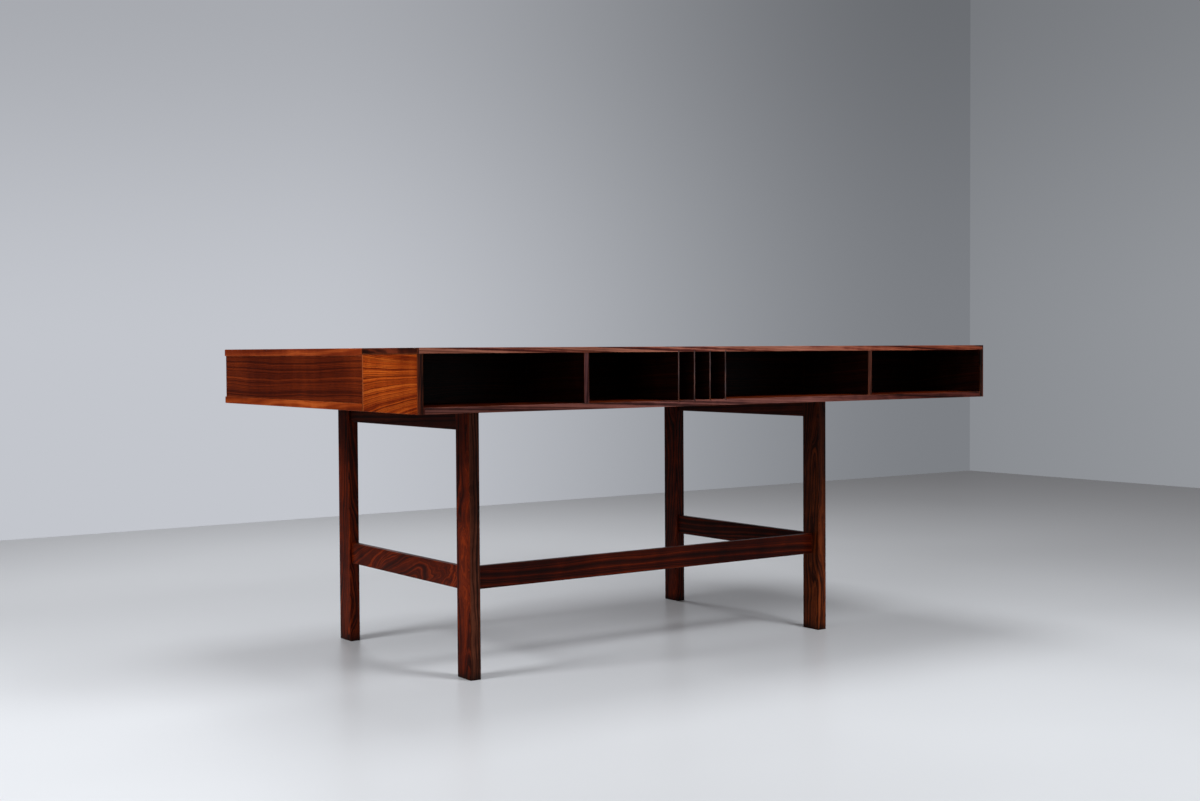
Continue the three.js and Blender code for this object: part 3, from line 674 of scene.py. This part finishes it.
def finish_boards():
    """Desktop, case bottom, and the top and bottom of the box."""
    case_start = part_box("desktop")[0].y
    box_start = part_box("box_top")[0].y
    boards = [
        ("desktop", "deep", "edge", "edge", "edge", case_start, LEAF_WIDTH, 1.1),
        ("case_bottom", "deep", "amber_edge", "edge", "edge", case_start, LEAF_WIDTH, 1.1),
        ("box_top", "deep", "dark_edge", "rear_edge", "warm_edge", box_start, BOX_LEAF_WIDTH, 1.8),
        ("box_bottom", "deep", "wine_edge", "mauve_edge", "wine_edge", box_start, BOX_LEAF_WIDTH, 1.5),
    ]
    for index, (name, *tones, start, width, contrast) in enumerate(boards):
        wood = board_material(name, *tones, start, width, 1.5 + 3 * index, contrast)
        finish_node(name, wood, EASE_BOARD)


def finish_case():
    for index, name in enumerate(("case_end_left", "case_end_right")):
        wood = panel_material(name, "quiet", "deep", "deep", 31 + 2 * index, (0.004, 0.012))
        finish_node(name, wood, EASE_PANEL)
    for index in range(1, 4):
        name = f"drawer_partition_{index}"
        finish_node(name, panel_material(name, "quiet", "deep", "edge", 37 + 2 * index), EASE_PANEL)
    # The case back is in darker tones, part timber and part painted shade
    name = "case_back"
    wood = solid_material(name, "quiet", "shade", "X", beside(name, 0, 0.1, -0.12), shift=51)
    finish_node(name, wood, EASE_PANEL)


def finish_box():
    # The box ends carry painted shade on their inner faces and rear edges, and a painted shadow along their
    # tops under the box top
    for index, name in enumerate(("box_end_left", "box_end_right")):
        wood = panel_material(name, "panel", "bright", "pale_lip", 61 + 2 * index, lean=(0.02, 0.01),
                              fan=0.26, rear_tones="rear_shade", inner_tones="shade", joint_shadow=0.8)
        finish_node(name, wood, EASE_PANEL)
    # The dividers' faces are in darker tones, part timber and part painted shade; only their rear edges
    # take their lipping tones
    dividers = [("box_divider_thick_left", "russet"), ("box_divider_thick_right", "plum")]
    for index, (name, lip_tones) in enumerate(dividers):
        wood = panel_material(name, "quiet", "shade", lip_tones, 67 + 2 * index, lip_sides=False)
        finish_node(name, wood, EASE_PANEL)
    # The box back is in darker tones, part timber and part painted shade
    name = "box_back"
    wood = solid_material(name, "quiet", "shade", "X", beside(name, 0, 0.1, -0.1), shift=73)
    finish_node(name, wood, EASE_PANEL)
    # The thin dividers' faces are in darker tones, part timber and part painted shade
    for index in range(1, 5):
        name = f"box_divider_thin_{index}"
        wood = panel_material(name, "quiet", "shade", "grey_edge", 75 + 2 * index, lip_sides=False)
        finish_node(name, wood, EASE_THIN)


def finish_drawers():
    """The fronts are cut from one board, so their figure runs through. The boxes are of a pale timber."""
    pale = {"gloss": 0.5, "pores": 0.1, "rubbed": RUBBED_MAPLE}
    front_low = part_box("drawer_1_front")[0]
    front_heart = Vector((0, front_low.y + 0.06, front_low.z - 0.07))
    for number in range(1, 5):
        name = f"drawer_{number}_front"
        wood = solid_material(name, "top", "deep", "X", front_heart, (0.006, 0.03), 91)
        finish_node(name, wood, EASE_BOARD)
        for index, part in enumerate(("side_left", "side_right", "back", "bottom")):
            name = f"drawer_{number}_{part}"
            along = "Y" if part.startswith("side") else "X"
            wood = solid_material(name, "plain", "maple", along, beside(name, 0.08, 0.05, -0.2),
                                  shift=101 + 8 * number + 2 * index, **pale)
            finish_node(name, wood, EASE_DRAWER)


def finish_hardware(brass, rubber):
    for number in range(1, 4):
        for part in ("case_leaf", "box_leaf", "link"):
            finish_node(f"hinge_{number}_{part}", brass, EASE_BRASS)
    for side in ("left", "right"):
        finish_node(f"stop_buffer_{side}", rubber, EASE_RUBBER)


# Glue lines in the joints


def fill_seams():
    """A thin dark glue line in the joint between each upright panel and the board over or under it."""
    glue, t = new_material("glue_line")
    place = t.place()
    tone = t.mix(t.noise(place, 90.0, detail=2.0)[0], GLUE_DARK, GLUE_LIGHT)
    t.principled({"Base Color": tone, "Roughness": 0.7, "Specular IOR Level": 0.2})
    cases = ["case_end_left", "case_end_right", "case_back"]
    boxes = ["box_end_left", "box_end_right", "box_back", "box_divider_thick_left",
             "box_divider_thick_right"]
    joints = [(name, "case_bottom", "desktop", "desk") for name in cases]
    joints += [(name, "box_bottom", "box_top", "flip_box") for name in boxes]
    for name, under, over, body in joints:
        low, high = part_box(name)
        gaps = [(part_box(under)[1].z, low.z, "under"), (high.z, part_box(over)[0].z, "over")]
        for lower, upper, side in gaps:
            if 2 * SEAM_CLEARANCE < upper - lower < SEAM_INSET:
                start = Vector((low.x, low.y, lower))
                end = Vector((high.x, high.y, upper))
                add_glue_line(f"glue_line_{name}_{side}", start, end, glue, body)


def add_glue_line(name, start, end, glue, body):
    """A strip that fills the space between two corners, a little short of it on all sides."""
    margin = Vector((SEAM_INSET, SEAM_INSET, SEAM_CLEARANCE))
    shape = bmesh.new()
    bmesh.ops.create_cube(shape, size=1.0)
    bmesh.ops.scale(shape, vec=end - start - 2 * margin, verts=shape.verts)
    bmesh.ops.translate(shape, vec=(start + end) / 2, verts=shape.verts)
    mesh = bpy.data.meshes.new(name)
    shape.to_mesh(mesh)
    shape.free()
    mesh.materials.append(glue)
    strip = bpy.data.objects.new(name, mesh)
    bpy.context.scene.collection.objects.link(strip)
    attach(strip, body)


# Screws in the hinge leaves


def screw_mesh():
    """A countersunk head with a straight slot, its flat top at z = 0."""
    mesh = bpy.data.meshes.new("slotted_screw")
    shape = bmesh.new()
    rings = []
    for radius, height in SCREW_PROFILE:
        ring = []
        for step in range(SCREW_SIDES):
            angle = 2 * math.pi * step / SCREW_SIDES
            ring.append(shape.verts.new((radius * math.cos(angle), radius * math.sin(angle), height)))
        rings.append(ring)
    for upper, lower in zip(rings, rings[1:]):
        for step in range(SCREW_SIDES):
            after = (step + 1) % SCREW_SIDES
            shape.faces.new((upper[step], lower[step], lower[after], upper[after]))
    shape.faces.new(rings[0])
    shape.faces.new(list(reversed(rings[-1])))
    bmesh.ops.recalc_face_normals(shape, faces=shape.faces)
    shape.to_mesh(mesh)
    shape.free()

    cutter_mesh = bpy.data.meshes.new("slot_cutter")
    cutter_shape = bmesh.new()
    bmesh.ops.create_cube(cutter_shape, size=1.0)
    cutter_shape.to_mesh(cutter_mesh)
    cutter_shape.free()
    cutter = bpy.data.objects.new("slot_cutter", cutter_mesh)
    cutter.scale = (4 * SCREW_HEAD_RADIUS, SCREW_SLOT_WIDTH, 2 * SCREW_SLOT_DEPTH)
    blank = bpy.data.objects.new("screw_blank", mesh)
    for helper in (cutter, blank):
        bpy.context.scene.collection.objects.link(helper)
    cutting = blank.modifiers.new("slot", "BOOLEAN")
    cutting.operation = "DIFFERENCE"
    cutting.solver = "EXACT"
    cutting.object = cutter
    soften = blank.modifiers.new("soften", "BEVEL")
    soften.width = EASE_SCREW
    soften.segments = 2
    soften.limit_method = "ANGLE"
    soften.angle_limit = SHARP_ANGLE
    bpy.context.view_layer.update()
    done = bpy.data.meshes.new_from_object(blank.evaluated_get(bpy.context.evaluated_depsgraph_get()))
    done.name = "hinge_screw"
    for helper in (cutter, blank):
        bpy.data.objects.remove(helper)
    return done


def add_screws(brass):
    """Three screws in each hinge leaf, each slot left at its own angle."""
    mesh = screw_mesh()
    by_hinge, by_step, by_side = SCREW_TURNS
    mesh.materials.clear()
    mesh.materials.append(brass)
    for number in range(1, 4):
        for side, part, body in ((-1, "case_leaf", "desk"), (1, "box_leaf", "flip_box")):
            low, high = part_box(f"hinge_{number}_{part}")
            seam = high.y if side < 0 else low.y
            for step in (-1, 0, 1):
                name = f"hinge_{number}_{part}_screw_{step + 2}"
                screw = bpy.data.objects.new(name, mesh)
                x = (low.x + high.x) / 2 + step * SCREW_PITCH
                screw.location = (x, seam + side * SCREW_FROM_SEAM, high.z - SCREW_SUNK)
                screw.rotation_euler.z = math.radians(by_hinge * number + by_step * step + by_side * side)
                bpy.context.scene.collection.objects.link(screw)
                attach(screw, body)


# Stage, light and camera

# The floor under the desk, the painted shade that darkens the pool of light beside its end, and what it
# throws back at the desk
FLOOR_DARK = srgb(220, 223, 227)
FLOOR_LIGHT = srgb(227, 230, 234)
FLOOR_BOUNCE = srgb(150, 152, 155)
POOL_SHADE = srgb(160, 163, 167)
POOL_PLACE = (2.9, 0.05, 0)
POOL_CORE = 0.4
POOL_EDGE = 1.3
# Where the floor turns into a glow of painted light for the camera, by X and by Y, and how that
# tone falls off with distance
EVEN_X = (1.62, 2.7)
EVEN_Y = (1.9, 4.2)
EVEN_FADE = (1.6, 9.0)
EVEN_NEAR = srgb(206, 209, 214)
EVEN_FAR = srgb(150, 153, 158)

# The walls by their turn from the camera's axis in radians, negative to the left: the long wall, the
# other wall from the corner on, and what lies behind the camera
WALL_BRIGHT = srgb(195, 198, 205)
WALL_DIM = srgb(124, 127, 132)
WALL_DIMMING = (-0.2, 0.22)
WALL_LEFT = srgb(128, 131, 136)
WALL_LEFT_TURN = (-0.4, -1.0)
CORNER_TONE = srgb(137, 140, 145)
SIDE_WALL_TONE = srgb(150, 153, 158)
SIDE_WALL_TURN = 0.4
BEHIND_TURN = (1.1, 2.2)
# The walls darken upwards to a share of their tone, by the sine of the height
WALL_TOP = 0.24
WALL_TOP_SHARE = 0.70
# Soft light from all round, and how far the walls are dimmed in reflections, by the X of the direction
AMBIENT_COLOUR = srgb(255, 243, 239)
AMBIENT_STRENGTH = 0.12
MIRROR_DIMMING = (-0.15, 0.25)
MIRROR_LEAST = 0.12

# Each softbox: place, aim, width and height in metres, watts, and whether it shows in reflections
LAMP_COLOUR = (0.98, 0.99, 1.0)
LAMPS = {
    "high_softbox": ((-0.04, -0.25, 3.96), (0, 0, 0.4), 1.4, 1.4, 41, True),
    "rear_softbox": ((-0.49, 1.95, 2.22), (0, 0, 0.4), 0.8, 0.8, 44, True),
    "end_softbox": ((3.5, 0.05, 2.05), (0, 0, 0.5), 1.2, 1.2, 82, False),
    "far_softbox": ((-0.44, -2.65, 2.75), (0, 0, 0.4), 0.7, 0.7, 26, True),
    "fill_softbox": ((4.4, 2.4, 1.0), (0.5, 0.3, 0.6), 2.0, 1.4, 22, False),
}


def add_floor():
    """A pale floor. Outside the camera's frame, where the lamps leave it uneven, it fades for the camera
    to a glowing tone of painted light, darker with distance."""
    shape = bmesh.new()
    corners = [(WALL_CORNER_X, WALL_Y), (FLOOR_REACH, WALL_Y), (FLOOR_REACH, FLOOR_REACH),
               (WALL_CORNER_X, FLOOR_REACH)]
    shape.faces.new([shape.verts.new((x, y, 0)) for x, y in corners])
    mesh = bpy.data.meshes.new("floor")
    shape.to_mesh(mesh)
    shape.free()
    floor = bpy.data.objects.new("floor", mesh)
    bpy.context.scene.collection.objects.link(floor)

    material, t = new_material("pale_floor")
    place = t.place()
    x, y, _ = t.split(place)
    cloud = t.noise(place, 1.4, detail=3.0, roughness=0.45)[0]
    speck = t.noise(place, 260.0, detail=2.0)[0]
    pale = t.mix(cloud, FLOOR_DARK, FLOOR_LIGHT)
    # Painted shade: the floor's colour darkened over the end lamp's pool of light
    from_pool = t.vector("LENGTH", t.vector("SUBTRACT", place, POOL_PLACE))
    pale = t.mix(t.span(from_pool, POOL_EDGE, POOL_CORE, smooth=True), pale, POOL_SHADE)
    ray = t.add("ShaderNodeLightPath").outputs["Is Camera Ray"]
    colour = t.mix(ray, FLOOR_BOUNCE, pale)
    rough = t.math("MULTIPLY_ADD", cloud, 0.08, 0.26)
    bump = t.add("ShaderNodeBump", {"Height": speck, "Strength": 0.15, "Distance": 0.1 * MM})
    near = t.add("ShaderNodeBsdfPrincipled", {
        "Base Color": colour, "Roughness": rough, "Normal": bump.outputs[0], "Specular IOR Level": 0.2,
    }).outputs[0]
    # Painted light: beyond the frame the floor glows for the camera, in a tone that darkens with distance
    fade = t.span(t.math("MAXIMUM", x, y), *EVEN_FADE, smooth=True)
    even = t.add("ShaderNodeEmission", {"Color": t.mix(fade, EVEN_NEAR, EVEN_FAR)}).outputs[0]
    far = t.math("MAXIMUM", t.span(x, *EVEN_X, smooth=True), t.span(y, *EVEN_Y, smooth=True))
    share = t.math("MULTIPLY", far, ray)
    surface = t.add("ShaderNodeMixShader", {0: share, 1: near, 2: even}).outputs[0]
    t.add("ShaderNodeOutputMaterial", {"Surface": surface})
    mesh.materials.append(material)


def add_backdrop():
    """A plain grey backdrop behind the floor, seen by the camera and in reflections, and a soft light."""
    world = bpy.data.worlds.new("studio")
    bpy.context.scene.world = world
    world.use_nodes = True
    world.node_tree.nodes.clear()
    t = Tree(world.node_tree)
    direction = t.add("ShaderNodeTexCoord").outputs["Generated"]
    photo_right = (-math.cos(CAMERA_YAW), math.sin(CAMERA_YAW), 0)
    photo_ahead = (-math.sin(CAMERA_YAW), -math.cos(CAMERA_YAW), 0)
    side = t.vector("DOT_PRODUCT", direction, photo_right)
    ahead = t.vector("DOT_PRODUCT", direction, photo_ahead)
    turn = t.math("ARCTAN2", side, ahead)
    height = t.split(direction)[2]
    wall = t.mix(t.span(turn, *WALL_DIMMING, smooth=True), WALL_BRIGHT, WALL_DIM)
    wall = t.mix(t.span(turn, *WALL_LEFT_TURN, smooth=True), wall, WALL_LEFT)
    side_wall = t.mix(t.span(turn, WALL_CORNER_TURN, SIDE_WALL_TURN), CORNER_TONE, SIDE_WALL_TONE)
    wall = t.mix(t.math("GREATER_THAN", turn, WALL_CORNER_TURN), wall, side_wall)
    behind = t.span(t.math("ABSOLUTE", turn), *BEHIND_TURN, smooth=True)
    wall = t.mix(behind, wall, SIDE_WALL_TONE)
    shade = t.span(height, 0.0, WALL_TOP, 1.0, WALL_TOP_SHARE, smooth=True)
    wall = t.mix(1.0, wall, t.join(shade, shade, shade), "MULTIPLY")
    seen = t.add("ShaderNodeBackground", {"Color": wall, "Strength": 1.0})
    light = t.add("ShaderNodeBackground", {"Color": AMBIENT_COLOUR, "Strength": AMBIENT_STRENGTH})
    dim = t.span(t.split(direction)[0], *MIRROR_DIMMING, 1.0, MIRROR_LEAST, smooth=True)
    reflected = t.add("ShaderNodeBackground", {"Color": wall, "Strength": dim})
    ray = t.add("ShaderNodeLightPath").outputs
    blend = light
    for kind, shader in (("Is Glossy Ray", reflected), ("Is Camera Ray", seen)):
        blend = t.add("ShaderNodeMixShader", {0: ray[kind], 1: blend.outputs[0], 2: shader.outputs[0]})
    t.add("ShaderNodeOutputWorld", {"Surface": blend.outputs[0]})


def add_softbox(name, place, aim, width, height, power, mirrored):
    lamp = bpy.data.lights.new(name, "AREA")
    lamp.shape = "RECTANGLE"
    lamp.size = width
    lamp.size_y = height
    lamp.energy = power
    lamp.color = LAMP_COLOUR
    holder = bpy.data.objects.new(name, lamp)
    holder.location = place
    holder.visible_glossy = mirrored
    holder.rotation_euler = (Vector(aim) - Vector(place)).to_track_quat("-Z", "Y").to_euler()
    bpy.context.scene.collection.objects.link(holder)


def add_lights():
    """Softboxes overhead, at the compartment side, off the right end and over the drawer side, and a low
    fill near the camera."""
    for name, setup in LAMPS.items():
        add_softbox(name, *setup)


def add_camera():
    yaw, pitch, roll = CAMERA_YAW, CAMERA_PITCH, CAMERA_ROLL
    forward = Vector((-math.sin(yaw) * math.cos(pitch), -math.cos(yaw) * math.cos(pitch), math.sin(pitch)))
    right = Vector((-math.cos(yaw), math.sin(yaw), 0))
    up = right.cross(forward)
    turned_right = math.cos(roll) * right + math.sin(roll) * up
    turned_up = math.cos(roll) * up - math.sin(roll) * right
    data = bpy.data.cameras.new("photo_camera")
    data.sensor_fit = "HORIZONTAL"
    data.sensor_width = SENSOR_WIDTH
    data.lens = SENSOR_WIDTH * FOCAL_PIXELS / PHOTO_WIDTH
    camera = bpy.data.objects.new("photo_camera", data)
    matrix = camera.matrix_world.copy()
    for column, axis in enumerate((turned_right, turned_up, -forward, CAMERA_PLACE)):
        matrix.col[column].xyz = axis
    camera.matrix_world = matrix
    bpy.context.scene.collection.objects.link(camera)
    bpy.context.scene.camera = camera


finish_frame()
finish_boards()
finish_case()
finish_box()
finish_drawers()
brass = brass_material()
fill_seams()
finish_hardware(brass, rubber_material())
add_screws(brass)
add_floor()
add_backdrop()
add_lights()
add_camera()

bpy.context.scene.view_settings.view_transform = "Standard"
